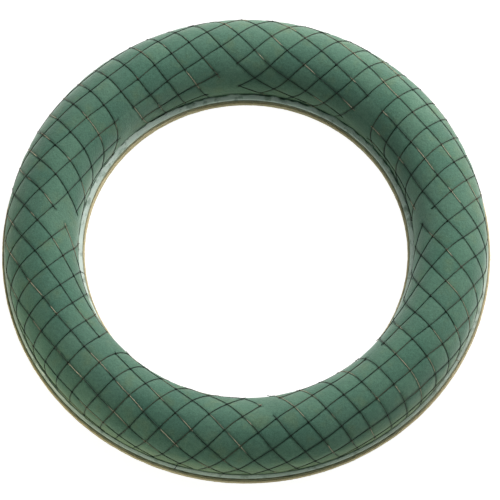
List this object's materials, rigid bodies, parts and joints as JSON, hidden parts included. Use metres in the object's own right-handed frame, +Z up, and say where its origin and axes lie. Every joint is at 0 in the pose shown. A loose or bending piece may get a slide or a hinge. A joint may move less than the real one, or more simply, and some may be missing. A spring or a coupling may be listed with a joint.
{
  "type": "netted floral foam wreath ring",
  "caption": "Round wreath base of green floral foam under a draped square-mesh net, seated in a lipped plastic liner bonded to a fibreboard ring, with an open centre.",
  "frame": {"origin": "centre of the ring on the plane it rests on", "axes": "+Z up through the open centre, out of the foam's crown; +X and +Y lie in the resting plane, with no marked feature because the ring is round"},
  "size_m": [0.4, 0.4, 0.0563],
  "materials": {
    "fibreboard": "matte pressed fibre",
    "board_adhesive": "dull, dark glue line",
    "liner_plastic": "satin",
    "foam_adhesive": "dull",
    "wet_foam": "matte, fine open cells",
    "tuck_adhesive": "dull",
    "net_thread": "semi-gloss thread"
  },
  "bodies": {
    "root": {"base_board": "fibreboard", "board_adhesive_outer": "board_adhesive", "board_adhesive_inner": "board_adhesive", "base_liner": "liner_plastic", "foam_adhesive": "foam_adhesive", "foam_ring": "wet_foam", "tuck_adhesive_outer": "tuck_adhesive", "tuck_adhesive_inner": "tuck_adhesive", "net": "net_thread"}
  },
  "joints": []
}
